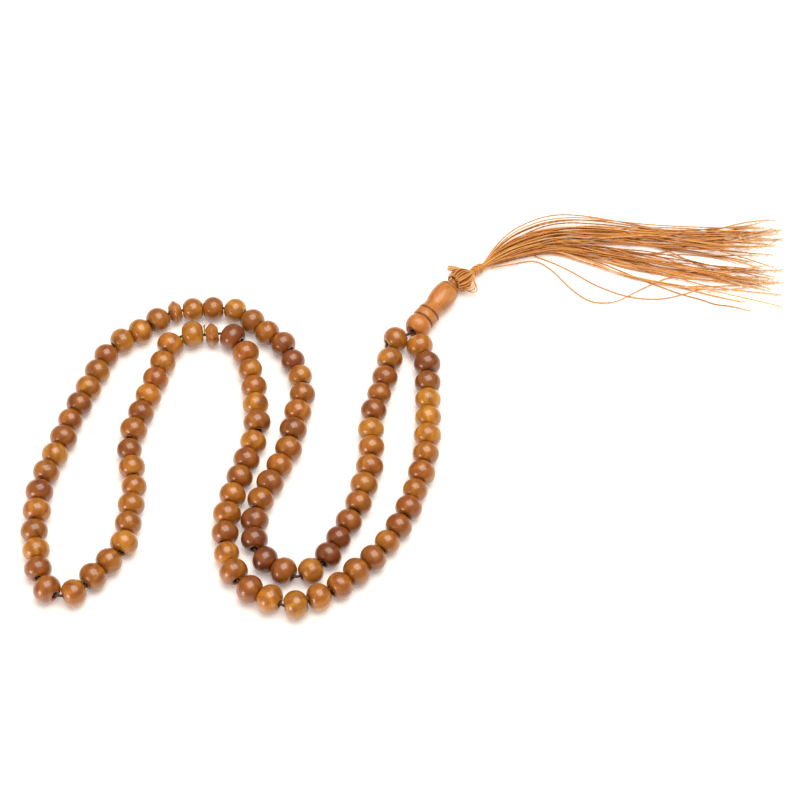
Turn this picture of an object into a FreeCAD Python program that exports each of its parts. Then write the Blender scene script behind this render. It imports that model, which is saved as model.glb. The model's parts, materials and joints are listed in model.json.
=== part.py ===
"""Misbaha: 99 turned wooden beads on one cord, in thirds parted by two discs, with a leader and a tassel.

The strand lies on a flat surface, folded into an S. Millimetres, +Z up, origin at the bottom centre of
the whole layout. Every piece is strung on the cord: its place comes from how far along the cord it sits.
"""
import FreeCAD, Part
import Sketcher
import bisect
import itertools
import math
import os

from FreeCAD import Placement, Rotation, Vector

UP = Vector(0, 0, 1)
doc = FreeCAD.newDocument("misbaha")

# ---------------------------------------------------------------- sizes
SIZES = {
    # turned beads, medium size; small and large ones are sorted out of the same batch
    "bead_diameter": 7.95,
    "bead_length_share": 0.803,
    "bead_hole": 2.2,
    "bead_flat": 0.8,
    "small_share": 0.935,
    "large_share": 1.045,
    "small_length_share": 0.97,
    "large_length_share": 1.02,
    "bead_gap": 0.10,
    "leader_room": 2.6,
    # separator discs
    "disc_share": 0.9434,
    "disc_thickness": 3.9,
    "disc_face": 4.0,
    "disc_bulge": 0.1,
    # cords
    "cord_diameter": 0.8,
    "thread_diameter": 0.5,
    "strand_gap": 0.1,
    # spliced end of the loop cord, which stands up beside the first disc
    "splice_room": 0.5,
    "splice_diameter": 0.35,
    "splice_length": 3.2,
    "splice_tip_diameter": 1.4,
    # leader bead: barrel, ring, long vase-shaped body and end ring, parted by grooves
    "leader_length": 21.5,
    "leader_diameter": 7.8,
    "leader_hole": 2.4,
    "leader_flat": 1.1,
    "barrel_length": 4.9,
    "barrel_neck": 7.1,
    "ring_length": 2.3,
    "ring_edge": 7.3,
    "ring_bulge": 0.12,
    "groove_width": 0.9,
    "groove_depth": 0.5,
    "foot_diameter": 7.4,
    "foot_hollow": 0.16,
    "waist_diameter": 6.3,
    "waist_height": 12.3,
    "belly_bulge": 0.46,
    "shoulder_diameter": 7.2,
    "end_groove_width": 0.7,
    "end_groove_depth": 0.35,
    "end_ring_length": 1.0,
    "end_ring_diameter": 6.6,
    # knot and tassel
    "end_knot_diameter": 3.2,
    "knot_clearance": 0.15,
    "joint_gap": 0.1,
    "cord_joint_gap": 0.3,
    "head_start": 0.6,
    "head_front_diameter": 4.6,
    "head_diameter": 6.6,
    "head_widest": 3.2,
    "head_length": 7.8,
    "neck_diameter": 2.0,
    "neck_length": 4.2,
    "binding_margin": 0.4,
    "binding_wall": 0.35,
    "binding_fit": 0.03,
    "skirt_root_diameter": 2.2,
    "skirt_length": 94,
    "skirt_width": 26,
    "skirt_thickness": 3.9,
    "skirt_lift": 0.1,
}
sheet = doc.addObject("Spreadsheet::Sheet", "sizes")
for row, (alias, value) in enumerate(SIZES.items(), start=1):
    sheet.set(f"A{row}", alias)
    sheet.set(f"B{row}", str(value))
    sheet.setAlias(f"B{row}", alias)
doc.recompute()


def size(alias):
    """The number in the sheet's cell of that name."""
    return float(sheet.get(alias))


# ---------------------------------------------------------------- the strand's order
# Each third has 33 beads. A letter is a bead: s small, m medium, l large. Beads between two spaces lie
# in line, share one straight stretch of cord and turn together.
THIRDS = {
    "first": "l l mmm lm lsm ms mlm m l ll ls ml mmmm lmm sl l",
    "second": "l l mmmml sm smm l ml m l mmm ll mml smmms mm m",
    "third": "ss s mm m ss mll lmlm lm m l m msm mll mm msm m m",
}
# Where the leader bead's mouth lies, and the ways the leader and the tassel point, in degrees from +X.
MOUTH_X, MOUTH_Y = -1.1, 26.8
LEADER_ANGLE = 56.2
TASSEL_ANGLE = 41
TASSEL_DROOP = 6.7
EXIT = 0.8  # how far each strand runs straight out of the mouth before it bends
SPLICE_LEAN = 20  # degrees that the spliced end leans off the upright
TOUCH = 0.01  # how closely the spliced end stands on the cord
HEAD_ROUND = "0.45"  # how far the tassel head's sides stand out from straight ones
BARREL_ROUND = 0.97  # how nearly the leader's barrel reaches the leader's full diameter

# The cord's route round the folded strand, from the leader's mouth and back to it.
ROUTE = [
    # first third: down the right side, round the bottom and up again
    (2.2, 19), (3.9, 13.5), (3, 6), (3.6, -5), (2.8, -20), (-0.6, -33), (-5.2, -44.5), (-14, -57),
    (-24.5, -66.3), (-36.3, -71.6), (-41.4, -68.4), (-49.5, -65.2), (-55.4, -54.5), (-55.8, -38),
    (-49.2, -18.5), (-47, -5), (-50.5, 13), (-53, 22.5), (-58.5, 26.8),
    # first disc and second third: down the inside of the left fold, round it and back up
    (-64, 25.5), (-70, 26.5), (-75.7, 23), (-77.3, 13.5), (-80.2, 4), (-84, -8), (-86, -17),
    (-82.1, -30), (-83.8, -41), (-84, -52), (-91, -58), (-95.5, -66), (-102, -68), (-108, -63.3),
    (-109, -53), (-111.5, -44.5), (-110, -37.5), (-110.9, -30), (-106, -17), (-101.5, 1.5),
    (-95.8, 14), (-93.5, 21.5), (-82.5, 28.5), (-77, 34.5),
    # second disc and last third: over the top, down, round the inner bottom and up to the leader
    (-66, 36.5), (-54, 36), (-50, 29.5), (-39, 21.5), (-37.2, 13.5), (-33.8, 8), (-34.3, 0.5),
    (-37, -7), (-36.8, -13.5), (-39.6, -22), (-44.2, -31.6), (-47.6, -39), (-46.7, -46.5),
    (-47.2, -53.5), (-41, -56.8), (-35.8, -62), (-27.5, -57.8), (-23, -49), (-17, -36.5),
    (-14, -26), (-13.2, -15), (-14, -8), (-12, 1.5), (-8.8, 12), (-7.3, 17), (-10.2, 22.4),
]
DRAWN_BEAD = 7.95  # the bead diameter that the route's side-by-side rows leave room for

# The tassel's skirt, from its root at the neck on: how far forward (+X) and left (+Y) each section's
# middle lies, and its width and thickness as shares of the skirt's own.
SKIRT = [
    (5.2, 4.7, 0.25, 0.95), (12.2, 9.2, 0.35, 1), (23.2, 12.7, 0.48, 0.95), (38.2, 10.7, 0.66, 0.85),
    (53.2, 8, 0.57, 0.75), (70.2, 6.2, 0.69, 0.65), (90.2, 2.7, 1, 0.5),
]
DRAWN_SKIRT = 94  # the skirt length for which those places, and the loose threads' below, are given

# The two loose threads beside the skirt: forward, left and the height of the thread's middle.
LOOSE_THREADS = [
    [(1.9, -1.2, 2.3), (9.6, 2, 0.6), (14.4, 3.5, 0.3), (17.8, 2.8, 0.35), (22.1, -1.2, 0.3),
     (26.6, -7.7, 0.35), (32, -12.9, 0.3), (37.5, -13.9, 0.5), (41.9, -13.3, 1.1), (45.1, -11.1, 1.2),
     (51.7, -6.5, 0.4), (58.3, -3, 0.3), (61.7, -3.3, 0.3)],
    [(17.7, 4.5, 0.3), (22.3, 2.4, 0.3), (28.4, -1.6, 0.35), (34.5, -6.5, 0.3), (43.6, -10.9, 0.3),
     (51.7, -12.3, 0.3), (59.6, -11.3, 0.35), (68, -7.7, 0.3)],
]


# ---------------------------------------------------------------- cord path
class Cord:
    """A cord's path: straight runs joined by arcs that touch both, each as large as its two runs allow."""

    def __init__(self, points):
        self.edges, self.radii, here = [], [], points[0]
        for before, corner, after in zip(points, points[1:], points[2:]):
            run = min(before.distanceToPoint(corner), corner.distanceToPoint(after))
            back = (before - corner).normalize()
            on = (after - corner).normalize()
            half_turn = (math.pi - back.getAngle(on)) / 2
            reach = 0.45 * run
            radius = reach / math.tan(half_turn)
            inside = (back + on).normalize() * (radius / math.cos(half_turn) - radius)
            start, end = corner + back * reach, corner + on * reach
            self.edges.append(Part.LineSegment(here, start).toShape())
            self.edges.append(Part.Arc(start, corner + inside, end).toShape())
            self.radii.append(radius)
            here = end
        self.edges.append(Part.LineSegment(here, points[-1]).toShape())
        self.ends = list(itertools.accumulate(edge.Length for edge in self.edges))
        self.length = self.ends[-1]

    def along(self, distance):
        """The point that lies that far along the cord, and straight on past its end."""
        n = min(bisect.bisect(self.ends, distance), len(self.edges) - 1)
        edge = self.edges[n]
        left = max(distance - (self.ends[n - 1] if n else 0), 0)
        if distance > self.length:
            onward = edge.tangentAt(edge.LastParameter)
            return edge.valueAt(edge.LastParameter) + onward * (distance - self.length)
        return edge.valueAt(edge.getParameterByLength(left))


def tube(name, cord, diameter_cell):
    """A round cord swept along its path."""
    spine = doc.addObject("Part::Feature", name + "_route")
    spine.Shape = Part.Wire(cord.edges)
    section = doc.addObject("Part::Circle", name + "_section")
    section.setExpression("Radius", f"sizes.{diameter_cell} / 2")
    first = cord.edges[0]
    set_on_axis(section, first.valueAt(first.FirstParameter), first.tangentAt(first.FirstParameter))
    sweep = doc.addObject("Part::Sweep", name)
    sweep.Sections = [section]
    sweep.Spine = (spine, [f"Edge{n + 1}" for n in range(len(cord.edges))])
    sweep.Solid = True
    sweep.Frenet = False
    doc.recompute()
    plain = math.pi / 4 * size(diameter_cell) ** 2 * cord.length
    print(f"{name}: length {cord.length:.1f}, volume {sweep.Shape.Volume / plain:.4f} of section times length,"
          f" bend radii {', '.join(f'{radius:.1f}' for radius in cord.radii)}")
    return sweep


# ---------------------------------------------------------------- turned pieces
V_AXIS = -2  # how a sketch's constraints name its vertical axis


def turned(name, outline):
    """A piece turned on a lathe: a closed outline spun round the body's own Z axis.

    Each entry of outline is (radius, height, swell): a corner, as expressions, and how far the side from
    it to the next corner stands out from its chord (positive outwards, negative hollow, 0 straight)."""
    body = doc.addObject("PartDesign::Body", name)
    sketch = body.newObject("Sketcher::SketchObject", name + "_outline")
    plane = next(f for f in body.Origin.OriginFeatures if f.Role == "XZ_Plane")
    sketch.AttachmentSupport = [(plane, "")]
    sketch.MapMode = "FlatFace"
    corners = [Vector(number(x), number(z), 0) for x, z, _ in outline]
    ends = []
    for n, (here, there) in enumerate(zip(corners, corners[1:] + corners[:1])):
        swell = number(outline[n][2])
        if swell == 0:
            index = sketch.addGeometry(Part.LineSegment(here, there))
        else:
            side = (there - here).normalize()
            middle = (here + there) * 0.5 + Vector(side.y, -side.x, 0) * swell
            index = sketch.addGeometry(Part.Arc(here, middle, there))
        start = sketch.getPoint(index, 1)
        ends.append((1, 2) if start.distanceToPoint(here) < start.distanceToPoint(there) else (2, 1))
    for n, (x, z, swell) in enumerate(outline):
        after = (n + 1) % len(outline)
        sketch.addConstraint(Sketcher.Constraint("Coincident", n, ends[n][1], after, ends[after][0]))
        if x == "0":
            sketch.addConstraint(Sketcher.Constraint("PointOnObject", n, ends[n][0], V_AXIS))
        for kind, value in (("DistanceX", x), ("DistanceY", z))[x == "0":]:
            index = sketch.addConstraint(Sketcher.Constraint(kind, -1, 1, n, ends[n][0], number(value)))
            sketch.setExpression(f"Constraints[{index}]", value)
        if number(swell) != 0:
            x_on, z_on, _ = outline[after]
            chord = f"((({x_on}) - ({x}))^2 + (({z_on}) - ({z}))^2)"
            radius = f"({chord} / 4 + ({swell})^2) / (2 * abs({swell}))"
            index = sketch.addConstraint(Sketcher.Constraint("Radius", n, number(radius)))
            sketch.setExpression(f"Constraints[{index}]", radius)
    spin = body.newObject("PartDesign::Revolution", name + "_turning")
    spin.Profile = sketch
    spin.ReferenceAxis = (sketch, ["V_Axis"])
    spin.Angle = 360
    return body


def number(expression):
    """An expression in the sheet's sizes, worked out."""
    return float(sheet.evalExpression(expression.replace("sizes.", "")))


def set_on_axis(piece, centre, axis):
    """Puts a turned piece with its own Z axis along axis and its middle at centre."""
    piece.Placement = Placement(centre, Rotation(UP, axis))


# ---------------------------------------------------------------- beads and discs
WIDTH_SHARE = {"s": "sizes.small_share", "m": "1", "l": "sizes.large_share"}
LENGTH_SHARE = {"s": "sizes.small_length_share", "m": "1", "l": "sizes.large_length_share"}
HOLE = "sizes.bead_hole / 2"


def bead_outline(grade):
    """A bead: rounded side, small flat ends, straight hole."""
    face = f"(sizes.bead_hole / 2 + sizes.bead_flat) * {WIDTH_SHARE[grade]}"
    side = f"sizes.bead_diameter * {WIDTH_SHARE[grade]} / 2"
    half = f"sizes.bead_diameter * sizes.bead_length_share * {LENGTH_SHARE[grade]} / 2"
    return [(HOLE, f"-{half}", "0"), (face, f"-{half}", f"{side} - {face}"), (face, half, "0"),
            (HOLE, half, "0")]


def disc_outline():
    """A separator disc: two bulging cones that meet in a sharp rim."""
    rim = "sizes.bead_diameter * sizes.disc_share / 2"
    face, half = "sizes.disc_face / 2", "sizes.disc_thickness / 2"
    bulge = "sizes.disc_bulge"
    return [(HOLE, f"-{half}", "0"), (face, f"-{half}", bulge), (rim, "0", bulge), (face, half, "0"),
            (HOLE, half, "0")]


class Turned:
    """The measures of one bead or disc that decide how close its neighbours can sit."""

    def __init__(self, outline):
        self.face, self.half = number(outline[-2][0]), number(outline[-2][1])
        self.side = self.face + number(outline[1][2]) if len(outline) == 4 else number(outline[2][0])

    def bend_room(self, tilt):
        """How much further off a neighbour sits when the cord turns by tilt on this piece's side."""
        swing = self.side - self.face
        round_radius = (self.half ** 2 + swing ** 2) / (2 * swing)
        if round_radius * math.cos(tilt) > self.half:
            return self.face * math.tan(tilt)
        return (round_radius + (self.side - round_radius) * math.sin(tilt)) / math.cos(tilt) - self.half


class Strung:
    """What lies in line on one straight stretch of the cord: the beads of one group, or a disc."""

    def __init__(self, node, grades):
        self.node, self.grades = node, grades
        self.pieces = [Turned(disc_outline() if grade == "disc" else bead_outline(grade)) for grade in grades]
        self.length = sum(2 * piece.half for piece in self.pieces) + size("bead_gap") * (len(grades) - 1)
        self.height = max(piece.side for piece in self.pieces)
        self.room_before = size("bead_gap")

    def lay(self, cord, distance):
        """Sets it with its middle that far along the cord, on a straight line that evens out the cord's bends."""
        shares = [n / 4 for n in range(-4, 5)]
        on_cord = [cord.along(distance + self.length / 2 * share) for share in shares]
        self.distance = distance
        self.centre = sum(on_cord, Vector()) / len(on_cord)
        self.axis = sum((point * share for point, share in zip(on_cord, shares)), Vector()).normalize()
        left = UP.cross(self.axis)
        strays = [(point - self.centre).dot(left) for point in on_cord]
        self.centre += left * ((max(strays) + min(strays)) / 2)
        self.centre.z = self.height

    def end(self, way):
        """The middle of its end face: way is 1 for the far end, -1 for the near one."""
        return self.centre + self.axis * (way * self.length / 2)

    def lay_after(self, before, cord, spare):
        """Sets it as close after the piece before it as the turn between them allows, plus the spare."""
        self.lay(cord, before.distance + (before.length + self.length) / 2)
        for _ in range(8):
            tilt = before.axis.getAngle(self.axis) / 2
            onward = (before.axis + self.axis).normalize()
            room = (before.pieces[-1].bend_room(tilt) + self.pieces[0].bend_room(tilt)) * math.cos(tilt)
            short = self.room_before + spare + room - (self.end(-1) - before.end(1)).dot(onward)
            self.lay(cord, self.distance + short)


def strand_in_order():
    """Everything on the cord, from the leader's mouth round the loop."""
    strung = []
    for third, groups in THIRDS.items():
        for n, grades in enumerate(groups.split(), start=1):
            strung.append(Strung(f"{third}_beads_{n:02d}", grades))
        if third != "third":
            strung.append(Strung(f"separator_disc_{1 if third == 'first' else 2}", ["disc"]))
    return strung


def mouth_point(sideways, out):
    """A point by the leader's mouth: to the right of the leader's axis, and outside the mouth."""
    right = Vector(leader_axis.y, -leader_axis.x, 0)
    return mouth + right * sideways - leader_axis * out


def loop_path(scale):
    """The loop cord's path from the leader's mouth and back to it: at the height of the beads' holes, and
    of the leader's own at the mouth."""
    route = [Vector(x, y, 0) * scale for x, y in ROUTE]
    beside = (size("cord_diameter") + size("strand_gap")) / 2
    place_mouth(scale)
    points = [mouth_point(beside, 0), mouth_point(beside, EXIT), *route, mouth_point(-beside, EXIT),
              mouth_point(-beside, 0)]
    for point in points[2:-2]:
        point.z = size("bead_diameter") / 2
    return Cord(points)


def place_mouth(scale):
    """Puts the leader's mouth where a strand of that scale has it."""
    mouth.x, mouth.y, mouth.z = MOUTH_X * scale, MOUTH_Y * scale, size("leader_diameter") / 2


leader_axis = Vector(math.cos(math.radians(LEADER_ANGLE)), math.sin(math.radians(LEADER_ANGLE)), 0)
mouth = Vector()
strand = strand_in_order()
first_disc = next(strung for strung in strand if strung.grades == ["disc"])
after_disc = strand[strand.index(first_disc) + 1]
after_disc.room_before += size("splice_room")
smallest = max(1, size("bead_diameter") / DRAWN_BEAD)
scale, spare = smallest, 0
for _ in range(10):
    # the route grows until everything fits on the cord; cord to spare is shared out between the pieces
    loop = loop_path(scale)
    strand[0].lay(loop, size("leader_room") + spare + strand[0].length / 2)
    for before, strung in zip(strand, strand[1:]):
        strung.lay_after(before, loop, spare)
    taken = strand[-1].distance + strand[-1].length / 2 + size("leader_room") - spare * len(strand)
    if taken > loop.length or scale > smallest:
        scale, spare = max(smallest, scale * taken / loop.length), 0
    else:
        spare = (loop.length - taken) / (len(strand) + 1)
print(f"strand: scale {scale:.4f}, cord {loop.length:.1f}, spare between pieces {spare:.3f}")

patterns = {grade: turned(f"bead_pattern_{grade}", bead_outline(grade)) for grade in "sml"}
patterns["disc"] = turned("disc_pattern", disc_outline())
doc.recompute()
nodes = []
for strung in strand:
    links, reach = [], -strung.length / 2
    for grade, piece in zip(strung.grades, strung.pieces):
        link = doc.addObject("App::Link", f"{strung.node}_{len(links) + 1}")
        link.LinkedObject = patterns[grade]
        set_on_axis(link, strung.centre + strung.axis * (reach + piece.half), strung.axis)
        reach += 2 * piece.half + size("bead_gap")
        links.append(link)
    group = doc.addObject("Part::Compound", strung.node)
    group.Links = links
    nodes.append(group)

# ---------------------------------------------------------------- loop cord and its splice
nodes.append(tube("loop_cord", loop, "cord_diameter"))

splice_foot = (first_disc.end(1) + after_disc.end(-1)) * 0.5
splice_foot.z = size("bead_diameter") / 2
splice_way = Rotation(Vector(1, 0, 0), -SPLICE_LEAN).multVec(UP)
splice_end = doc.addObject("Part::Cylinder", "splice_end")
splice_end.setExpression("Radius", "sizes.splice_diameter / 2")
splice_end.setExpression("Height", "sizes.splice_length - sizes.cord_diameter / 2")
set_on_axis(splice_end, splice_foot + splice_way * (size("cord_diameter") / 2 + TOUCH), splice_way)
splice_tip = doc.addObject("Part::Sphere", "splice_tip")
splice_tip.setExpression("Radius", "sizes.splice_tip_diameter / 2")
splice_tip.Placement.Base = splice_foot + splice_way * size("splice_length")
splice = doc.addObject("Part::Fuse", "cord_splice_knot")
splice.Base, splice.Tool = splice_end, splice_tip
nodes.append(splice)

# ---------------------------------------------------------------- leader bead, its cord and the end knot
FIRST_GROOVE = "sizes.barrel_length + sizes.groove_width"
RING_END = f"{FIRST_GROOVE} + sizes.ring_length"
FOOT = f"{RING_END} + sizes.groove_width"
END_RING = "sizes.leader_length - sizes.end_ring_length"
SHOULDER = f"{END_RING} - sizes.end_groove_width"
LEADER_FACE = "sizes.leader_hole / 2 + sizes.leader_flat"
BARREL_NECK = "sizes.barrel_neck / 2"
leader = turned("leader_bead", [
    ("sizes.leader_hole / 2", "0", "0"),
    (LEADER_FACE, "0", f"{BARREL_ROUND} * (sizes.leader_diameter / 2 - ({LEADER_FACE} + {BARREL_NECK}) / 2)"),
    (BARREL_NECK, "sizes.barrel_length", "0"),
    (f"{BARREL_NECK} - sizes.groove_depth", "sizes.barrel_length + sizes.groove_width / 2", "0"),
    ("sizes.ring_edge / 2", FIRST_GROOVE, "sizes.ring_bulge"),
    ("sizes.ring_edge / 2", RING_END, "0"),
    ("sizes.ring_edge / 2 - sizes.groove_depth", f"{RING_END} + sizes.groove_width / 2", "0"),
    ("sizes.foot_diameter / 2", FOOT, "-sizes.foot_hollow"),
    ("sizes.waist_diameter / 2", "sizes.waist_height", "sizes.belly_bulge"),
    ("sizes.shoulder_diameter / 2", SHOULDER, "0"),
    ("sizes.end_ring_diameter / 2 - sizes.end_groove_depth", f"{END_RING} - sizes.end_groove_width / 2", "0"),
    ("sizes.end_ring_diameter / 2", END_RING, "sizes.ring_bulge"),
    (LEADER_FACE, "sizes.leader_length", "0"),
    ("sizes.leader_hole / 2", "sizes.leader_length", "0"),
])
set_on_axis(leader, mouth, leader_axis)
nodes.append(leader)

knot_at = mouth + leader_axis * (size("leader_length") + size("joint_gap") + size("end_knot_diameter") / 2)
knot = doc.addObject("Part::Sphere", "end_knot")
knot.setExpression("Radius", "sizes.end_knot_diameter / 2")
knot.Placement.Base = knot_at
nodes.append(knot)

strands = []
for side in (1, -1):
    strand_in_leader = doc.addObject("Part::Cylinder", f"leader_strand_{len(strands) + 1}")
    strand_in_leader.setExpression("Radius", "sizes.cord_diameter / 2")
    strand_in_leader.setExpression("Height", "sizes.leader_length - sizes.cord_joint_gap")
    beside = side * (size("cord_diameter") + size("strand_gap")) / 2
    set_on_axis(strand_in_leader, mouth_point(beside, -size("cord_joint_gap")), leader_axis)
    strands.append(strand_in_leader)
leader_cord = doc.addObject("Part::Compound", "leader_cord")
leader_cord.Links = strands
nodes.append(leader_cord)

# ---------------------------------------------------------------- tassel
tassel_axis = Rotation(UP, TASSEL_ANGLE).multVec(Rotation(Vector(0, 1, 0), TASSEL_DROOP).multVec(Vector(1, 0, 0)))
NECK_END = "sizes.head_length + sizes.neck_length"
bulb = turned("tassel_head_outside", [
    ("0", "sizes.head_start", "0"),
    ("sizes.head_front_diameter / 2", "sizes.head_start", HEAD_ROUND),
    ("sizes.head_diameter / 2", "sizes.head_widest", HEAD_ROUND),
    ("sizes.neck_diameter / 2", "sizes.head_length", "0"),
    ("sizes.neck_diameter / 2", NECK_END, "0"),
    ("0", NECK_END, "0"),
])
set_on_axis(bulb, knot_at, tassel_axis)
socket = doc.addObject("Part::Sphere", "tassel_head_socket")
socket.setExpression("Radius", "sizes.end_knot_diameter / 2 + sizes.knot_clearance")
socket.Placement.Base = knot_at
head = doc.addObject("Part::Cut", "tassel_head")
head.Base, head.Tool = bulb, socket
nodes.append(head)

BINDING_INSIDE = "sizes.neck_diameter / 2 + sizes.binding_fit"
BINDING_LENGTH = "sizes.neck_length - sizes.binding_margin"
binding = turned("tassel_binding", [
    (BINDING_INSIDE, "0", "0"),
    (f"{BINDING_INSIDE} + sizes.binding_wall", "0", "0"),
    (f"{BINDING_INSIDE} + sizes.binding_wall", BINDING_LENGTH, "0"),
    (BINDING_INSIDE, BINDING_LENGTH, "0"),
])
set_on_axis(binding, knot_at + tassel_axis * (size("head_length") + size("binding_margin")), tassel_axis)
nodes.append(binding)

root_at = knot_at + tassel_axis * (number(NECK_END) + size("joint_gap") + size("skirt_root_diameter") / 2)
skirt_scale = size("skirt_length") / DRAWN_SKIRT
root = doc.addObject("Part::Circle", "skirt_root")
root.setExpression("Radius", "sizes.skirt_root_diameter / 2")
set_on_axis(root, root_at, tassel_axis)
sections, before = [root], root_at
for forward, left, width, thickness in SKIRT:
    section = doc.addObject("Part::Ellipse", f"skirt_section_{len(sections)}")
    section.setExpression("MajorRadius", f"sizes.skirt_width * {width} / 2")
    section.setExpression("MinorRadius", f"sizes.skirt_thickness * {thickness} / 2")
    centre = root_at + Vector(forward, left, 0) * skirt_scale
    centre.z = size("skirt_thickness") * thickness / 2 + size("skirt_lift")
    onward = Vector(centre.x - before.x, centre.y - before.y, 0)
    section.Placement = Placement(centre, Rotation(UP.cross(onward), UP, onward, "ZXY"))
    sections.append(section)
    before = centre
skirt = doc.addObject("Part::Loft", "tassel_skirt")
skirt.Sections, skirt.Solid, skirt.Ruled = sections, True, True
nodes.append(skirt)

for n, points in enumerate(LOOSE_THREADS, start=1):
    thread = [root_at + Vector(forward, left, 0) * skirt_scale for forward, left, _ in points]
    for point, (_, _, height) in zip(thread, points):
        point.z = height
    nodes.append(tube(f"loose_thread_{n}", Cord(thread), "thread_diameter"))

# ---------------------------------------------------------------- checks and files
doc.recompute()
for thing in doc.Objects:
    if "Invalid" in thing.State or "Error" in thing.State:
        raise RuntimeError(f"{thing.Name}: {thing.State}")
os.makedirs("parts", exist_ok=True)
for piece in nodes:
    if piece.Shape.isNull() or not piece.Shape.isValid() or piece.Shape.Volume <= 0:
        raise RuntimeError(f"{piece.Label} has no sound shape")
    piece.Shape.exportStep(f"parts/{piece.Label}.step")
print(len(nodes), "nodes,", sum(len(piece.Shape.Solids) for piece in nodes), "solids")
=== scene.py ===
"""Misbaha prayer beads: turned wooden beads on a closed cord, a leader bead and a golden thread tassel."""
import json
import math

import bpy
import numpy as np
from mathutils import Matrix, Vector


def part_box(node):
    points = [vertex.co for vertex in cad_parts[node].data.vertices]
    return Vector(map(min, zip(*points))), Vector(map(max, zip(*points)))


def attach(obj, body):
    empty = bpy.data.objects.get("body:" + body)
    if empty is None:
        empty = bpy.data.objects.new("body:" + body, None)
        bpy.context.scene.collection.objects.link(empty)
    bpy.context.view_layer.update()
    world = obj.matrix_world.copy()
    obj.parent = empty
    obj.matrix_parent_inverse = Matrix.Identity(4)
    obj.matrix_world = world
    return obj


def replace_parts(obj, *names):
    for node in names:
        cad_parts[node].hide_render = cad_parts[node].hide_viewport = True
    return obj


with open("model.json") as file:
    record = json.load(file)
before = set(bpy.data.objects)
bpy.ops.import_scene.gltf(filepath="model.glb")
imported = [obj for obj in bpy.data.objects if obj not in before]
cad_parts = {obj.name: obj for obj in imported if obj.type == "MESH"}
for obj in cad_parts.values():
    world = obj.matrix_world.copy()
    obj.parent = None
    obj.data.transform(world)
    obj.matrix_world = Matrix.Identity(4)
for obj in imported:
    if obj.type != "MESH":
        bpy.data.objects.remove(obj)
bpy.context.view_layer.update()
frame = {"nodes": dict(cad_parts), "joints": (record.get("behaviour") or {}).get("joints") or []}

MM = 0.001
joints = {joint["child"]: joint for joint in frame["joints"]}

# ---------------------------------------------------------------- The table, the lamps and the camera
# A white lacquered table top under a wide soft lamp, with a small warm lamp low at the front left. Neither
# is part of the beads.


class Wired:
    """A socket in a finish. Each sum with it adds one Math node."""

    def __init__(self, finish, socket):
        self.finish, self.socket = finish, socket

    def worked(self, operation, first, second):
        return self.finish.add("ShaderNodeMath", {"operation": operation}, {0: first, 1: second})

    def __add__(self, other):
        return self.worked("ADD", self, other)

    def __radd__(self, other):
        return self.worked("ADD", other, self)

    def __sub__(self, other):
        return self.worked("SUBTRACT", self, other)

    def __rsub__(self, other):
        return self.worked("SUBTRACT", other, self)

    def __mul__(self, other):
        return self.worked("MULTIPLY", self, other)

    def __rmul__(self, other):
        return self.worked("MULTIPLY", other, self)


class Finish:
    """A material as it is mixed: one Principled shader and the nodes that feed it."""

    def __init__(self, name, **fixed):
        self.material = bpy.data.materials.new(name)
        self.material.use_nodes = True
        self.tree = self.material.node_tree
        self.shader = next(n for n in self.tree.nodes if n.type == "BSDF_PRINCIPLED")
        for socket, value in fixed.items():
            self.shader.inputs[socket.replace("_", " ")].default_value = value

    def add(self, kind, settings, sockets, output=0):
        """Adds a node of that kind: its settings first, then the values or links of its sockets."""
        node = self.tree.nodes.new(kind)
        for setting, value in settings.items():
            if setting == "stops":
                for stop in value[2:]:
                    node.color_ramp.elements.new(stop[0])
                for element, (place, colour) in zip(node.color_ramp.elements, value):
                    element.position, element.color = place, (*colour, 1)
            else:
                setattr(node, setting, value)
        for socket, value in sockets.items():
            if isinstance(value, Wired):
                self.tree.links.new(value.socket, node.inputs[socket])
            else:
                node.inputs[socket].default_value = value
        return Wired(self, node.outputs[output])

    def attribute(self, name, output):
        """What the mesh holds under that name: output 1 is its vector, 2 its number."""
        return self.add("ShaderNodeAttribute", {"attribute_name": name}, {}, output)

    def scaled(self, vector, stretch):
        """The vector with each part multiplied."""
        return self.add("ShaderNodeVectorMath", {"operation": "MULTIPLY"}, {0: vector, 1: stretch})

    def noise(self, vector, scale, detail=2.0, rough=0.5):
        """Cloudy noise from 0 to 1."""
        sockets = {"Vector": vector, "Scale": scale, "Detail": detail, "Roughness": rough}
        return self.add("ShaderNodeTexNoise", {}, sockets)

    def step(self, value, low, high):
        """0 below low, 1 above high, and straight between."""
        return self.add("ShaderNodeMapRange", {"clamp": True}, {0: value, 1: low, 2: high})

    def mixed(self, factor, first, second, way="MIX"):
        """Two colours mixed by the factor."""
        settings = {"data_type": "RGBA", "blend_type": way}
        return self.add("ShaderNodeMix", settings, {0: factor, 6: first, 7: second}, 2)

    def ramp(self, value, stops):
        """A colour for each value, by stops of place and colour."""
        return self.add("ShaderNodeValToRGB", {"stops": stops}, {0: value})

    def feed(self, **links):
        """Links worked-out values to the shader."""
        for socket, wired in links.items():
            self.tree.links.new(wired.socket, self.shader.inputs[socket.replace("_", " ")])
        return self

    def bump(self, height, depth, strength=1.0):
        """Links a height to the shader's normal; depth is in metres."""
        sockets = {"Height": height, "Distance": depth, "Strength": strength}
        return self.feed(Normal=self.add("ShaderNodeBump", {}, sockets))


def sheet_faces(rows, columns, rows_meet, columns_meet):
    """The four-cornered faces of a grid of points. A side that meets runs on into its first line."""
    row = np.arange(rows if rows_meet else rows - 1)[:, None]
    column = np.arange(columns if columns_meet else columns - 1)[None, :]
    row_on, column_on = (row + 1) % rows, (column + 1) % columns
    corners = (row * columns + column, row * columns + column_on, row_on * columns + column_on,
               row_on * columns + column)
    return np.stack(np.broadcast_arrays(*corners), axis=-1).reshape(-1, 4)


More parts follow.
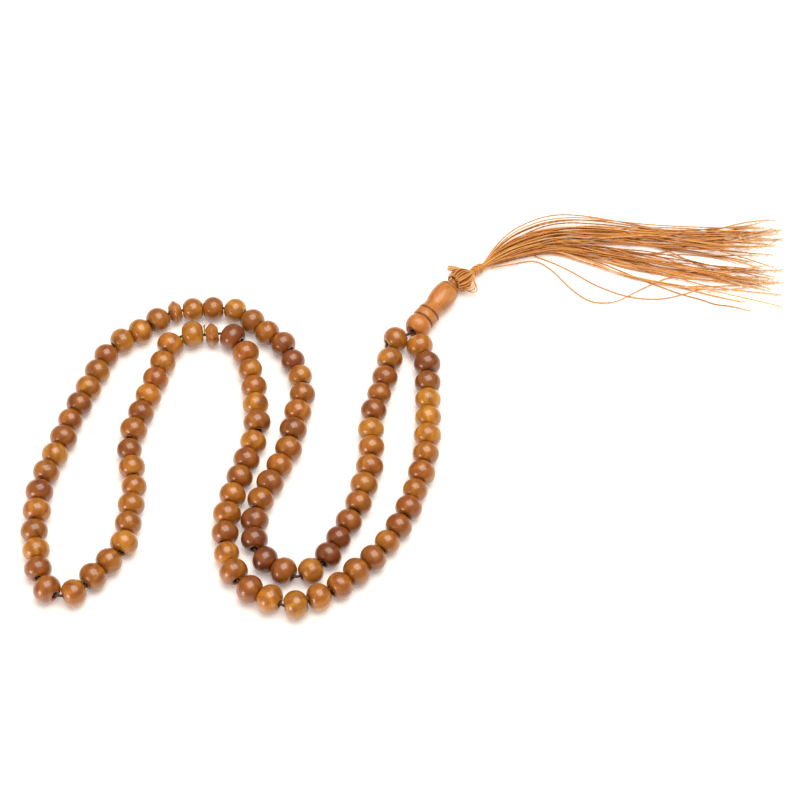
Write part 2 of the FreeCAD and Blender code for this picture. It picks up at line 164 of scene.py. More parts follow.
def make(name, surfaces, finish, **marks):
    """One mesh object from surfaces, each its points and its faces. The marks hold values by the point."""
    counts = [0, *np.cumsum([len(points) for points, _ in surfaces])]
    points = np.concatenate([points for points, _ in surfaces])
    faces = [[corner + start for corner in face] for (_, rows), start in zip(surfaces, counts)
             for face in (rows.tolist() if hasattr(rows, "tolist") else rows)]
    mesh = bpy.data.meshes.new(name)
    mesh.from_pydata(points.tolist(), [], faces)
    mesh.polygons.foreach_set("use_smooth", np.ones(len(faces), dtype=bool))
    for mark, values in marks.items():
        values = np.concatenate(values)
        kind, key = ("FLOAT_VECTOR", "vector") if values.ndim > 1 else ("FLOAT", "value")
        mesh.attributes.new(mark, kind, "POINT").data.foreach_set(key, values.astype(np.float32).ravel())
    mesh.materials.append(finish.material)
    mesh.update()
    thing = bpy.data.objects.new(name, mesh)
    bpy.context.scene.collection.objects.link(thing)
    return thing


TABLE_HALF, TABLE_TICKS, TABLE_DROP = 2.0, 9, 0.02 * MM
ticks = np.linspace(-TABLE_HALF, TABLE_HALF, TABLE_TICKS)
drop = np.full((TABLE_TICKS, TABLE_TICKS), -TABLE_DROP)
table_points = np.stack([*np.meshgrid(ticks, ticks), drop], axis=-1).reshape(-1, 3)
lacquer = Finish("white_table_lacquer", Roughness=0.6)
cloud = lacquer.noise(lacquer.add("ShaderNodeTexCoord", {}, {}, 3), 3.0)
lacquer.feed(Base_Color=lacquer.ramp(cloud, [(0, (0.90, 0.90, 0.90)), (1, (0.93, 0.93, 0.93))]))
lacquer.shader.inputs["Emission Color"].default_value = (1, 1, 1, 1)
lacquer.shader.inputs["Emission Strength"].default_value = 0.22
table_faces = sheet_faces(TABLE_TICKS, TABLE_TICKS, False, False)
table = make("table_top", [(table_points, table_faces)], lacquer)


def lamp(name, place, aim, width, power, colour):
    """A square soft lamp at place that faces aim."""
    light = bpy.data.lights.new(name, "AREA")
    light.size, light.energy, light.color = width, power, colour
    thing = bpy.data.objects.new(name, light)
    bpy.context.scene.collection.objects.link(thing)
    thing.location = place
    thing.rotation_euler = (Vector(aim) - Vector(place)).to_track_quat("-Z", "Y").to_euler()


lamp("overhead_lamp", (0.10, 0.06, 0.95), (0, 0, 0), 0.90, 12.5, (1, 0.93, 0.84))
lamp("low_left_lamp", (-0.74, -0.68, 0.16), (0, 0, 0), 0.34, 4.2, (1, 0.80, 0.70))
world = bpy.data.worlds.new("pale_room")
world.use_nodes = True
world.node_tree.nodes["Background"].inputs[0].default_value = (1, 0.95, 0.87, 1)
world.node_tree.nodes["Background"].inputs[1].default_value = 0.30
bpy.context.scene.world = world
bpy.context.scene.view_settings.view_transform = "Standard"

CAMERA_RISE = math.radians(54.2)
CAMERA_REACH = 0.697
AIM = Vector((-0.005, 0.004, 0))
lens = bpy.data.cameras.new("camera")
lens.lens, lens.sensor_width = 103.5, 36
camera = bpy.data.objects.new("camera", lens)
bpy.context.scene.collection.objects.link(camera)
camera.location = AIM + Vector((0, -math.cos(CAMERA_RISE), math.sin(CAMERA_RISE))) * CAMERA_REACH
camera.rotation_euler = (math.pi / 2 - CAMERA_RISE, 0, 0)
bpy.context.scene.camera = camera

# ---------------------------------------------------------------- The cords
# A thin dark brown twisted cord, waxed by handling. It runs through every bead, and both its strands go up
# through the leader bead to a knot.
cord_finish = Finish("brown_twisted_cord", Roughness=0.7)
place = cord_finish.add("ShaderNodeTexCoord", {}, {}, 3)
strands = cord_finish.noise(place, 2600, 3)
cord_brown = cord_finish.ramp(strands, [(0.3, (0.020, 0.008, 0.004)), (0.7, (0.11, 0.050, 0.026))])
cord_finish.feed(Base_Color=cord_brown, Roughness=0.55 + 0.3 * strands)
cord_finish.bump(strands, 0.06 * MM)
for node in ("loop_cord", "leader_cord"):
    for slot in frame["nodes"][node].material_slots:
        slot.material = cord_finish.material

# ---------------------------------------------------------------- The beads
# Ninety-nine beads turned from a close-grained orange-brown wood, drilled through, tumbled and lacquered.
# They vary a little in size, and in tone from honey to dark chestnut.


LINE_STEP = 0.05


def lathe_side(start, end, swell):
    """Points from start to end, each (radius, height) in mm: a circle's arc that stands swell out from its
    chord. Its radius is (c^2 + swell^2) / (2 swell), c being half the chord, and its centre lies square to
    the chord's middle."""
    start, end = np.array(start, float), np.array(end, float)
    chord = np.linalg.norm(end - start)
    share = np.linspace(0, 1, max(2, int(chord / LINE_STEP)), endpoint=False)[:, None]
    if swell == 0:
        return start + (end - start) * share
    along = (end - start) / chord
    out = np.array([along[1], -along[0]])
    radius = ((chord / 2) ** 2 + swell ** 2) / (2 * swell)
    reach = math.asin(min(1, chord / 2 / abs(radius)))
    angle = (share * 2 - 1) * reach
    middle = (start + end) / 2
    return middle + along * abs(radius) * np.sin(angle) + out * (radius * np.cos(angle) - radius + swell)


def turned_outline(corners, count, ease):
    """A closed outline of count points, from corners (radius, height, swell). Averaging over ease mm along
    it rounds its corners as sanding does."""
    nexts = corners[1:] + corners[:1]
    line = np.concatenate([lathe_side(here[:2], on[:2], here[2]) for here, on in zip(corners, nexts)])
    steps = max(1, int(ease / LINE_STEP / 2))
    line = sum(np.roll(line, shift, axis=0) for shift in range(-steps, steps + 1)) / (2 * steps + 1)
    gaps = np.linalg.norm(np.diff(np.vstack([line, line[:1]]), axis=0), axis=1)
    run = np.concatenate([[0], np.cumsum(gaps)])
    closed = np.vstack([line, line[:1]])
    wanted = np.linspace(0, run[-1], count, endpoint=False)
    return np.stack([np.interp(wanted, run, closed[:, n]) for n in (0, 1)], axis=-1)


def turned(outline, count):
    """A turned surface round Z: each outline point (radius, height) goes round in count equal angles."""
    angle = np.arange(count) * (2 * math.pi / count)
    radius, height = outline[:, :1], outline[:, 1:]
    points = np.stack([radius * np.cos(angle), radius * np.sin(angle), height + 0 * angle], axis=-1)
    return points.reshape(-1, 3)


def set_on_axis(points, centre, axis):
    """Turned points in mm, set with Z along axis and the origin at centre, in metres."""
    axis = np.array(axis) / np.linalg.norm(axis)
    left = np.cross((0, 0, 1), axis)
    left /= np.linalg.norm(left)
    return np.array(centre) + MM * (points @ np.stack([np.cross(left, axis), left, axis]))


def wood(name, stops, band, figure, gloss, coat, **fixed):
    """Lacquered wood. Its grain marks give each point's place in the plank, in mm, with the fibres along Z:
    cloudy bands of scale band, and rings as strong as figure, drawn out along the fibres, then thin dark
    pores. gloss is its least roughness, and coat is how much lacquer lies over it."""
    finish = Finish(name, Coat_Roughness=0.16, Coat_IOR=1.5, **fixed)
    plank = finish.attribute("grain", 1)
    drift = finish.add("ShaderNodeTexNoise", {}, {"Vector": plank, "Scale": 0.16, "Detail": 1.0}, 1)
    bent = finish.add("ShaderNodeVectorMath", {"operation": "MULTIPLY_ADD"},
                      {0: drift, 1: (2.4, 2.4, 2.4), 2: plank})
    bands = finish.noise(finish.scaled(bent, (1, 1, 0.10)), band, 3, 0.6)
    rings = finish.add("ShaderNodeTexWave", {"wave_type": "RINGS", "rings_direction": "Z"},
                       {"Vector": finish.scaled(bent, (1, 1, 0.04)), "Scale": 0.13, "Distortion": 2.4,
                        "Detail": 2.0, "Detail Scale": 1.4}, 1)
    fine = finish.noise(finish.scaled(bent, (1, 1, 0.07)), 3.2, 2)
    pores = finish.step(finish.noise(finish.scaled(plank, (1, 1, 0.09)), 6.0, 1), 0.60, 0.70)
    tone = 0.66 * bands + figure * rings + (0.34 - figure) * fine
    colour = finish.ramp(tone, stops)
    colour = finish.mixed(1.0, colour, finish.attribute("tone", 1), "MULTIPLY")
    colour = finish.mixed(0.42 * pores, colour, (0.045, 0.012, 0.004, 1))
    finish.feed(Base_Color=colour, Roughness=gloss + 0.16 * fine + 0.12 * pores,
                Coat_Weight=coat - 0.35 * coat * pores)
    return finish.bump(0.7 * fine - 0.8 * pores, 0.02 * MM)


WIDTH_SHARE = {"s": 0.935, "m": 1, "l": 1.045}
LENGTH_SHARE = {"s": 0.97, "m": 1, "l": 1.02}
BEAD_WIDTH, BEAD_LENGTH, BEAD_GAP = 7.95, 6.384, 0.1
HOLE, FLAT = 1.1, 0.8
# Each third's beads in their order, in groups that lie in line: sizes, then tones from k, the darkest
# chestnut, by d, b and h to g, golden, with p a purplish brown.
THIRDS = {
    "first": ("l l mmm lm lsm ms mlm m l ll ls ml mmmm lmm sl l",
              "h p dgg gb bhd dh dbb h g hd bg db bddg bgh gb k"),
    "second": ("l l mmmml sm smm l ml m l mmm ll mml smmms mm m",
               "g g hbhdb dh hhb g bh h b dgb hd bgd bdhhd gg b"),
    "third": ("ss s mm m ss mll lmlm lm m l m msm mll mm msm m m",
              "gb g bb d pg hhd bbdh dk k d h kkd bhb hg dbd h h"),
}
TONES = {"k": (0.58, 0.42, 0.50), "d": (0.80, 0.70, 0.70), "b": (0.96, 0.92, 0.90), "h": (1.08, 1.12, 1.10),
         "g": (1.22, 1.38, 1.40), "p": (0.60, 0.46, 1.20)}
BEAD_STEPS, BEAD_TURNS = 40, 36

bead_wood = wood("lacquered_bead_wood", [(0.30, (0.190, 0.044, 0.002)), (0.46, (0.310, 0.092, 0.003)),
                                         (0.60, (0.410, 0.142, 0.005)), (0.76, (0.540, 0.225, 0.014))],
                 0.34, 0.11, 0.27, 0.7)
chance = np.random.default_rng(99)


def bead_outline(grade):
    """A bead in mm: a barrel side whose arc is fullest at the middle, small flats, a straight hole."""
    side, half = BEAD_WIDTH * WIDTH_SHARE[grade] / 2, BEAD_LENGTH * LENGTH_SHARE[grade] / 2
    face = (HOLE + FLAT) * WIDTH_SHARE[grade]
    corners = [(HOLE, -half, 0), (face, -half, side - face), (face, half, 0), (HOLE, half, 0)]
    return turned_outline(corners, BEAD_STEPS, 0.25)


def plank_places(points, tilt):
    """Where a turned piece was cut from: its points turned by a chance angle about its hole, leant over by
    up to tilt radians and moved along by a chance amount."""
    spin, lean = chance.uniform(0, 2 * math.pi), chance.normal(0, tilt)
    about = np.array([[math.cos(spin), -math.sin(spin), 0], [math.sin(spin), math.cos(spin), 0], [0, 0, 1]])
    over = np.array([[1, 0, 0], [0, math.cos(lean), -math.sin(lean)], [0, math.sin(lean), math.cos(lean)]])
    return points @ about @ over + chance.uniform(-300, 300, 3) * (0.02, 0.02, 1) + (7, 5, 0)


outlines = {grade: bead_outline(grade) for grade in "sml"}
for third, (sizes, tones) in THIRDS.items():
    for number, (grades, shades) in enumerate(zip(sizes.split(), tones.split()), start=1):
        body = f"{third}_beads_{number:02d}"
        halves = [BEAD_LENGTH * LENGTH_SHARE[grade] / 2 for grade in grades]
        reach = -sum(halves) - BEAD_GAP * (len(grades) - 1) / 2
        surfaces, grain, tone = [], [], []
        for grade, shade, half in zip(grades, shades, halves):
            points = turned(outlines[grade], BEAD_TURNS)
            grain.append(plank_places(points, 0.45))
            tint = np.array(TONES[shade]) * chance.normal(1, 0.05) * chance.normal(1, (0.015, 0.03, 0.05))
            tone.append(np.broadcast_to(tint, points.shape))
            oval = 1 + 0.006 * np.cos(2 * np.arctan2(points[:, 1], points[:, 0]) + chance.uniform(0, 6))
            points = points * np.stack([oval, oval, np.ones_like(oval)], axis=-1) + (0, 0, reach + half)
            surfaces.append((set_on_axis(points, joints[body]["pos_m"], joints[body]["axis"]),
                             sheet_faces(BEAD_STEPS, BEAD_TURNS, True, True)))
            reach += 2 * half + BEAD_GAP
        group = make(f"lacquered_{body}", surfaces, bead_wood, grain=grain, tone=tone)
        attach(group, body)
        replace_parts(group, body)

# ---------------------------------------------------------------- The two parting discs
# Slim double cones turned from a lighter piece of the same wood. They part the beads into thirds.
DISC_WIDTH, DISC_LENGTH, DISC_FACE, DISC_BULGE = 7.5, 3.9, 4.0, 0.1
DISC_STEPS, DISC_TURNS = 64, 64
disc_wood = wood("lacquered_disc_wood", [(0.28, (0.20, 0.055, 0.008)), (0.50, (0.42, 0.145, 0.020)),
                                         (0.80, (0.62, 0.27, 0.060))], 0.55, 0.10, 0.26, 0.5)
disc_shape = turned_outline([(HOLE, -DISC_LENGTH / 2, 0), (DISC_FACE / 2, -DISC_LENGTH / 2, DISC_BULGE),
                             (DISC_WIDTH / 2, 0, DISC_BULGE), (DISC_FACE / 2, DISC_LENGTH / 2, 0),
                             (HOLE, DISC_LENGTH / 2, 0)], DISC_STEPS, 0.3)
for number in (1, 2):
    points = turned(disc_shape, DISC_TURNS)
    centre, axis = joints[f"disc_{number}"]["pos_m"], joints[f"disc_{number}"]["axis"]
    disc = make(f"parting_disc_{number}",
                [(set_on_axis(points, centre, axis), sheet_faces(DISC_STEPS, DISC_TURNS, True, True))],
                disc_wood, grain=[plank_places(points, 0.2)], tone=[np.ones(points.shape)])
    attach(disc, f"disc_{number}")
    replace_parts(disc, f"separator_disc_{number}")

# ---------------------------------------------------------------- The leader bead
# A long bead turned from paler, more open-grained wood: a barrel, a ring, a slender vase and an end ring,
# parted by grooves. Its lacquer is thinner than the beads'.
leader_wood = wood("satin_leader_wood", [(0.28, (0.34, 0.095, 0.012)), (0.48, (0.50, 0.165, 0.020)),
                                         (0.75, (0.62, 0.270, 0.060))], 0.30, 0.12, 0.32, 0.45)
LEADER_STEPS, LEADER_TURNS = 320, 96
# Each groove's height, half width and how much the colour is darkened in and around it.
DARKENED_GROOVES = [(5.35, 0.34, 0.72), (8.55, 0.34, 0.72), (20.15, 0.26, 0.5)]
leader_shape = turned_outline([
    (1.2, 0, 0), (2.3, 0, 0.95), (3.55, 4.9, 0), (3.05, 5.35, 0), (3.65, 5.8, 0.12), (3.65, 8.1, 0),
    (3.15, 8.55, 0), (3.7, 9.0, -0.16), (3.15, 12.3, 0.46), (3.6, 19.8, 0), (2.95, 20.15, 0),
    (3.3, 20.5, 0.12), (2.3, 21.5, 0), (1.2, 21.5, 0)], LEADER_STEPS, 0.12)
points = turned(leader_shape, LEADER_TURNS)
# The tone darkens the wood's colour in and around each groove.
groove_darkening = np.ones(points.shape)
for groove, width, depth in DARKENED_GROOVES:
    groove_darkening *= (1 - depth * np.exp(-((points[:, 2] - groove) / width) ** 2))[:, None] ** (0.8, 1.0, 1.2)
leader = make("turned_leader_bead",
              [(set_on_axis(points, joints["leader_bead"]["pos_m"], joints["leader_bead"]["axis"]),
                sheet_faces(LEADER_STEPS, LEADER_TURNS, True, True))], leader_wood,
              grain=[plank_places(points, 0.05)], tone=[groove_darkening])
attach(leader, "leader_bead")
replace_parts(leader, "leader_bead")

# ---------------------------------------------------------------- The tassel's head
# Shiny two-ply rayon thread, looped many times over the cord's knot. A few loops hang out, and the thread's
# cut ends stand up as a pale tuft.
THREAD = 0.23
thread_finish = Finish("golden_rayon_thread", Roughness=0.4, Sheen_Weight=0.25, Sheen_Roughness=0.4)
shade = thread_finish.attribute("shade", 2)
pale = thread_finish.attribute("pale", 2)
place = thread_finish.add("ShaderNodeTexCoord", {}, {}, 3)
fuzz = thread_finish.noise(place, 1800, 2)
slow = thread_finish.noise(place, 120, 2)
gold = thread_finish.ramp(0.55 * shade + 0.3 * slow + 0.15 * fuzz,
                          [(0.1, (0.30, 0.092, 0.012)), (0.42, (0.58, 0.225, 0.036)),
                           (0.62, (0.74, 0.340, 0.072)), (0.9, (0.88, 0.500, 0.160))])
thread_finish.feed(Base_Color=thread_finish.mixed(pale, gold, (0.86, 0.60, 0.34, 1)),
                   Roughness=0.34 + 0.18 * fuzz)
thread_finish.bump(fuzz, 0.03 * MM)

for slot in frame["nodes"]["end_knot"].material_slots:
    slot.material = thread_finish.material


def smooth_line(control):
    """Points in metres along an open NURBS spline of order 3 that has these control points, in mm."""
    curve = bpy.data.curves.new("line", "CURVE")
    curve.dimensions = "3D"
    spline = curve.splines.new("NURBS")
    spline.points.add(len(control) - 1)
    spline.points.foreach_set("co", np.c_[np.array(control) * MM, np.ones(len(control))].ravel())
    spline.order_u = 3
    spline.use_endpoint_u = True
    holder = bpy.data.objects.new("line", curve)
    mesh = bpy.data.meshes.new_from_object(holder)
    line = np.empty(3 * len(mesh.vertices))
    mesh.vertices.foreach_get("co", line)
    bpy.data.objects.remove(holder)
    bpy.data.meshes.remove(mesh)
    bpy.data.curves.remove(curve)
    return line.reshape(-1, 3)


def even(line, count):
    """The line with count points spaced evenly along it, and its length."""
    run = np.concatenate([[0], np.cumsum(np.linalg.norm(np.diff(line, axis=0), axis=1))])
    wanted = np.linspace(0, run[-1], count)
    return np.stack([np.interp(wanted, run, line[:, n]) for n in range(3)], axis=-1), run[-1]


def thread(line, gap, thick=THREAD, taper=1.0, sides=6, lay=2.2):
    """A two-ply thread along a line in metres, as points and faces. Round it at angle a, after a run s, its
    radius is thick (0.9 + 0.1 cos(2a - 2 pi s / lay)), drawn in to taper at its end. gap is the step along
    it in mm."""
    path, length = even(line, max(6, int(np.linalg.norm(np.diff(line, axis=0), axis=1).sum() / (gap * MM))))
    ahead = np.gradient(path, axis=0)
    ahead /= np.linalg.norm(ahead, axis=1, keepdims=True)
    least = np.linalg.svd(ahead, full_matrices=False)[2][-1]
    side = np.cross(least, ahead)
    side /= np.linalg.norm(side, axis=1, keepdims=True)
    other = np.cross(ahead, side)
    share = np.linspace(0, 1, len(path))[:, None]
    angle = np.arange(sides) * (2 * math.pi / sides)
    round_it = thick * MM * (0.9 + 0.1 * np.cos(2 * angle - 2 * math.pi * share * length / (lay * MM)))
    round_it = round_it * (1 + (taper - 1) * share)
    points = path[:, None] + (round_it * np.cos(angle))[..., None] * side[:, None]
    points = points + (round_it * np.sin(angle))[..., None] * other[:, None]
    faces = sheet_faces(len(path), sides, False, True).tolist()
    last = (len(path) - 1) * sides
    faces += [list(range(sides))[::-1], list(range(last, last + sides))]
    return points.reshape(-1, 3), faces


knot = np.array(joints["tassel"]["pos_m"]) / MM
root = np.array(joints["skirt"]["pos_m"]) / MM
forward = (root - knot) / np.linalg.norm(root - knot)
left = np.cross((0, 0, 1), forward)
left /= np.linalg.norm(left)
up = np.cross(forward, left)


def on_tassel(ahead, sideways, above):
    """A point in mm given along the tassel's axis from the knot, to its left and above it."""
    return knot + np.outer(ahead, forward) + np.outer(sideways, left) + np.outer(above, up)


def shades(surfaces, values, pales=None):
    """The shade and pale marks of several surfaces, one value or array to each."""
    pales = pales or [0] * len(surfaces)
    return {"shade": [np.zeros(len(points)) + value for (points, _), value in zip(surfaces, values)],
            "pale": [np.zeros(len(points)) + value for (points, _), value in zip(surfaces, pales)]}


LOOPS, TUFT_THREADS = 17, 26
CORE_STEPS, CORE_TURNS = 60, 48
# How far ahead of the knot a loop runs as it comes back over the head, and how far out from the axis.
AHEAD = np.array([9.6, 7.9, 6.7, 5.4, 3.8, 2.2, 0.7])
OUT = np.array([0.55, 0.7, 1.3, 2.3, 3.2, 3.3, 2.9])
core_shape = turned_outline([
    (1.8, 0.9, 0), (2.2, 0.95, 0.1), (2.65, 2.2, 0.1), (2.6, 3.6, 0), (1.9, 5.2, 0), (1.0, 6.7, 0),
    (0.6, 8.2, 0), (0.3, 8.2, 0), (0.3, 3.0, 0), (1.5, 1.7, 0)], CORE_STEPS, 0.2)
core = set_on_axis(turned(core_shape, CORE_TURNS), knot * MM, forward)
surfaces = [(core, sheet_faces(CORE_STEPS, CORE_TURNS, True, True))]
for loop in range(LOOPS):
    start = 2 * math.pi * loop / LOOPS + chance.uniform(-0.12, 0.12)
    across = chance.uniform(0.25, 0.5)
    bulge = 1 + chance.uniform(-0.04, 0.14) * np.array([0, 0, 0.3, 0.7, 1, 1, 0.8])
    angle = np.concatenate([start + 0 * AHEAD, [start + across / 2], start + across + 0 * AHEAD])
    out = np.concatenate([OUT * bulge, [2.1], (OUT * bulge)[::-1]])
    ahead = np.concatenate([AHEAD, [chance.uniform(-0.5, 0.1)], AHEAD[::-1]])
    surfaces.append(thread(smooth_line(on_tassel(ahead, out * np.cos(angle), out * np.sin(angle))), 0.35))
for reach, start, drop in ((6.0, 4.2, -0.6), (5.1, 4.9, -0.2), (4.4, 3.4, 0.3)):
    ahead = [8.2, 6.4, 5.0, 3.2, 1.6, 0.9]
    out = [-0.7, -1.6, -reach, -reach - 0.3, -start, -2.0]
    above = [0.2, 0.3, drop, drop - 0.4, drop - 0.2, 0.4]
    surfaces.append(thread(smooth_line(on_tassel(ahead, out, above)), 0.35))
values = [0.15] + [chance.uniform(0.3, 0.95) for _ in surfaces[1:]]
pales = [0] * len(surfaces)
for _ in range(TUFT_THREADS):
    spread = chance.uniform(-1, 1, 3) * (0.5, 1.1, 0.8)
    ahead = [6.2, 4.4, 2.7, 1.2 + spread[0]]
    out = [0.9, 2.2 + spread[1] * 0.3, 3.2 + spread[1] * 0.7, 4.0 + spread[1]]
    above = [1.0, 2.2, 2.6 + spread[2] * 0.6, 2.3 + spread[2]]
    surfaces.append(thread(smooth_line(on_tassel(ahead, out, above)), 0.3, 0.2))
    values.append(0.8)
    pales.append(chance.uniform(0.35, 0.8))
head = make("looped_thread_head", surfaces, thread_finish, **shades(surfaces, values, pales))
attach(head, "tassel")
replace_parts(head, "tassel_head")

# ---------------------------------------------------------------- The tassel's binding
# The same thread wound tightly round the neck, with two slanting turns over the rest to lock it.
BINDING_START, BINDING_END, BINDING_OUT, BINDING_TURNS = 8.3, 11.95, 1.14, 7.6
LOCK_PLACE, LOCK_OUT = 10.1, 1.42
share = np.linspace(0, 1, 240)
turns = 2 * math.pi * BINDING_TURNS * share
surfaces = [thread(on_tassel(BINDING_START + (BINDING_END - BINDING_START) * share,
                             BINDING_OUT * np.cos(turns), BINDING_OUT * np.sin(turns)) * MM, 0.2, 0.25)]
for tilt in (0.9, -0.8):
    turn = 2 * math.pi * share[::3] * 0.995
    ahead = LOCK_PLACE + tilt * np.cos(turn)
    locking = on_tassel(ahead, LOCK_OUT * np.cos(turn), LOCK_OUT * np.sin(turn)) * MM
    surfaces.append(thread(locking, 0.2, 0.22))
binding = make("wound_neck_binding", surfaces, thread_finish, **shades(surfaces, [0.5, 0.7, 0.6]))
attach(binding, "tassel")
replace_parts(binding, "tassel_binding")

# ---------------------------------------------------------------- The tassel's skirt
# About seventy lengths of the same thread, bound together at the neck. They fan out over the table, cross
# near their ends and stop raggedly, each with its cut end frayed and bleached.
# Each place is forward and left of the neck's end, then half the width and the height of the threads there.
SHEAF = np.array([
    (5.2, 4.3, 2.8, 3.6), (12.2, 8.6, 4.2, 3.8), (23.2, 12.2, 5.6, 3.6), (38.2, 11.2, 6.4, 3.2),
    (53.2, 9.0, 6.6, 2.8), (70.2, 6.8, 8.0, 2.4), (90.2, 5.6, 11.0, 1.8)])
LOW_SHEAF = np.array([
    (5.0, 3.4, 1.4, 2.4), (12.0, 6.2, 1.8, 2.6), (22.0, 8.4, 2.4, 2.2), (33.0, 5.4, 3.2, 1.8),
    (45.0, 0.8, 4.0, 1.6), (57.0, -3.4, 3.2, 1.5), (72.0, -6.0, 4.4, 1.4), (92.0, -8.0, 7.0, 1.2)])
STRAYS = [
    [(5.2, 3.6, 2.2), (12, 6, 1.6), (24, 7.5, 0.8), (36.6, 2.9, 0.3), (45.8, -2.3, 0.3), (51.9, -5.6, 0.3),
     (56.2, -7.6, 0.3), (61.9, -10.4, 0.4), (67.7, -12.2, 0.3), (71.6, -14.2, 0.3), (76.6, -14.7, 0.3),
     (81.4, -16.3, 0.3)],
    [(4.4, 7.6, 3.4), (11, 14.2, 3.2), (22, 19.4, 2.8), (38, 19.6, 2.2), (53, 16.0, 1.4), (69.5, 14.5, 0.6),
     (78.4, 17.8, 0.3), (86.6, 20.1, 0.3), (92.1, 20.3, 0.3)],
    [(4.6, 7.2, 3.6), (11.6, 13.2, 3.6), (23, 18.4, 3.2), (40, 18.0, 2.4), (58, 14.6, 1.2),
     (75.1, 13.2, 0.5), (83.4, 17.2, 0.3)],
    [(3.6, 7.6, 3.0), (9.4, 14.6, 2.8), (20, 20.6, 2.4), (30, 21.4, 1.8), (44, 19.0, 1.0), (60, 15.4, 0.6)],
]
LOOSE = [
    [(1.9, -1.2, 2.3), (9.6, 2, 0.6), (14.4, 3.5, 0.3), (17.8, 2.8, 0.35), (22.1, -1.2, 0.3),
     (26.6, -7.7, 0.35), (32, -12.9, 0.3), (37.5, -13.9, 0.5), (41.9, -13.3, 1.1), (45.1, -11.1, 1.2),
     (51.7, -6.5, 0.4),
     (58.3, -3, 0.3), (61.7, -3.3, 0.3)],
    [(13.4, 6.4, 0.9), (17.7, 4.5, 0.3), (22.3, 2.4, 0.3), (28.4, -1.6, 0.35), (34.5, -6.5, 0.3),
     (43.6, -10.9, 0.3), (51.7, -12.3, 0.3), (59.6, -11.3, 0.35), (68, -7.7, 0.3)],
]
FLOOR = 0.26
UPPER_THREADS, LOW_THREADS = 52, 15
MOST_DECLARED = 38
THREAD_GAP, CORD_STEPS, FRAY_FIBRES = 0.45, 200, 5


def sheaf_thread(sheaf, place, layer, end):
    """Control points in mm of one thread: at each section of the sheaf it lies place, from -1 to 1, across
    and layer, from 0 to 1, up. Its place wanders more towards its end, which is end along the last
    section."""
    across = place + np.cumsum(chance.normal(0, 0.2, len(sheaf)) * np.linspace(0.3, 2.6, len(sheaf)))
    across = np.clip(across, -1.05, 1.05)
    height = np.clip(layer + chance.normal(0, 0.13, len(sheaf)), 0, 1)
    ahead, sideways, half, thick = sheaf.T
    way = np.gradient(np.stack([ahead, sideways], axis=-1), axis=0)
    way /= np.linalg.norm(way, axis=1, keepdims=True)
    points = np.stack([ahead - way[:, 1] * half * across, sideways + way[:, 0] * half * across,
                       FLOOR + (thick - 2 * FLOOR) * height], axis=-1)
    points[3:, :2] += chance.normal(0, 0.7, (len(points) - 3, 2))
    last = points[-2] + (points[-1] - points[-2]) * end + (0, chance.normal(0, 1.2), 0)
    last[2] = max(FLOOR, last[2])
    body = np.vstack([points[:-1], last])
    body[:, :2] += root[:2]
    angle = math.atan2(layer - 0.5, place)
    near = 0.75 * math.sqrt(chance.uniform(0.05, 1))
    sleeve = on_tassel([12.0, 12.6, 13.6], [near * math.cos(angle)] * 3, [near * math.sin(angle)] * 3)
    return np.vstack([sleeve, body])


def near_root(points):
    """Control points in mm from places given forward and left of the neck's end, and their height."""
    return np.array(points) + (root[0], root[1], 0)


controls = []
for sheaf, count, ends in ((SHEAF, UPPER_THREADS, (0.45, 1.15)), (LOW_SHEAF, LOW_THREADS, (0.35, 1.05))):
    for _ in range(count):
        place, layer, end = chance.uniform(-1, 1), chance.uniform(0, 1), chance.uniform(*ends)
        controls.append(sheaf_thread(sheaf, place, layer, end))
for points in STRAYS:
    controls.append(np.vstack([on_tassel([12.0, 12.6], [0.3, 0.3], [0.2, 0.2]), near_root(points)]))
controls.sort(key=lambda control: -control[-1][0])
lines = [smooth_line(control) for control in controls]


def pale_ends(points, line):
    """0 along a thread and up to 1 over its last 6 mm, by distance from its end."""
    return np.clip(1 - np.linalg.norm(points - line[-1], axis=1) / (6 * MM), 0, 1) * 0.8


def free_thread(name, line, shade):
    """One length of thread along a line, riding on the skirt."""
    surface = thread(line, THREAD_GAP)
    strand = make(name, [surface], thread_finish,
                  **shades([surface], [shade], [pale_ends(surface[0], line)]))
    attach(strand, "skirt")
    return strand


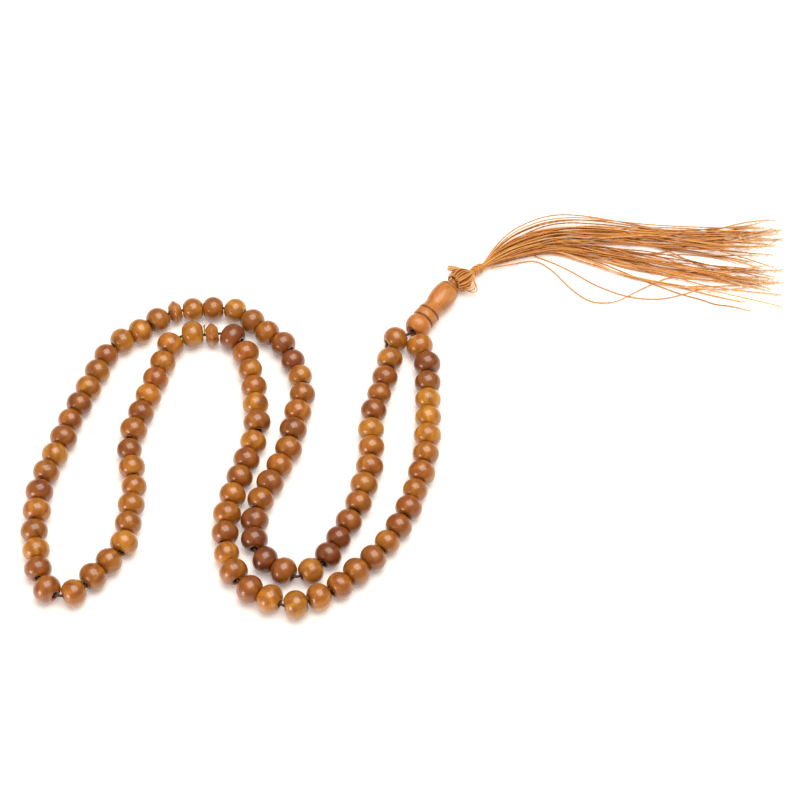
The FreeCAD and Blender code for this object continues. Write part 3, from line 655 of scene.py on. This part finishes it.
for n, line in enumerate(lines[:MOST_DECLARED], start=1):
    free_thread(f"skirt_thread_{n:02d}", line, chance.uniform(0.1, 1))
for n, points in enumerate(LOOSE, start=1):
    line = smooth_line(near_root(points))
    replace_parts(free_thread(f"strayed_thread_{n}", line, 0.45), f"loose_thread_{n}")
    lines.append(line)
surfaces = [thread(line, THREAD_GAP) for line in lines[MOST_DECLARED:len(controls)]]
bunch = make("skirt_thread_bunch", surfaces, thread_finish, **shades(
    surfaces, [chance.uniform(0.1, 1) for _ in surfaces],
    [pale_ends(points, line) for (points, _), line in zip(surfaces, lines[MOST_DECLARED:])]))
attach(bunch, "skirt")
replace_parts(bunch, "tassel_skirt")

surfaces = []
for line in lines:
    ahead = (line[-1] - line[-3]) / np.linalg.norm(line[-1] - line[-3])
    for _ in range(FRAY_FIBRES):
        way = ahead + chance.normal(0, 0.32, 3) * (1, 1, 0.35)
        reach = chance.uniform(1.2, 3.0)
        fibre = line[-1] / MM + np.outer((-0.4, 0.3, 1), way * reach)
        fibre[:, 2] = np.maximum(fibre[:, 2], 0.12)
        surfaces.append(thread(smooth_line(fibre), 0.5, 0.11, 0.35, 4))
fray = make("frayed_thread_ends", surfaces, thread_finish,
            **shades(surfaces, [0.9] * len(surfaces), [chance.uniform(0.5, 1) for _ in surfaces]))
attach(fray, "skirt")

# ---------------------------------------------------------------- The splice
# Where the loop cord's ends meet beside the first disc, they are twisted together and stand up as a stub
# with a small frayed tip.
SPLICE_FIBRES = 22
low, high = (np.array(corner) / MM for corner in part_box("cord_splice_knot"))
foot = np.array([(low[0] + high[0]) / 2, low[1] + 0.2, low[2] + 0.1])
tip = np.array([(low[0] + high[0]) / 2, high[1] - 0.7, high[2] - 0.7])
stub = smooth_line([foot, foot * 0.6 + tip * 0.4 + (0.12, 0, 0), tip])
surfaces = [thread(stub, 0.12, 0.2, 1.4, 8, 0.8)]
for _ in range(SPLICE_FIBRES):
    lean = chance.normal(0, 0.38, 3) + (0, 0.1, 0.35)
    fibre = smooth_line([tip - (0, 0.1, 0.3), tip + lean * 0.5, tip + lean])
    surfaces.append(thread(fibre, 0.15, 0.07, 0.4, 4))
bleached = [0.05 + 0.2 * (n % 3 == 0) for n in range(len(surfaces))]
splice = make("twisted_cord_splice", surfaces, thread_finish,
              **shades(surfaces, [0.0] * len(surfaces), bleached))
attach(splice, "strand")
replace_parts(splice, "cord_splice_knot")
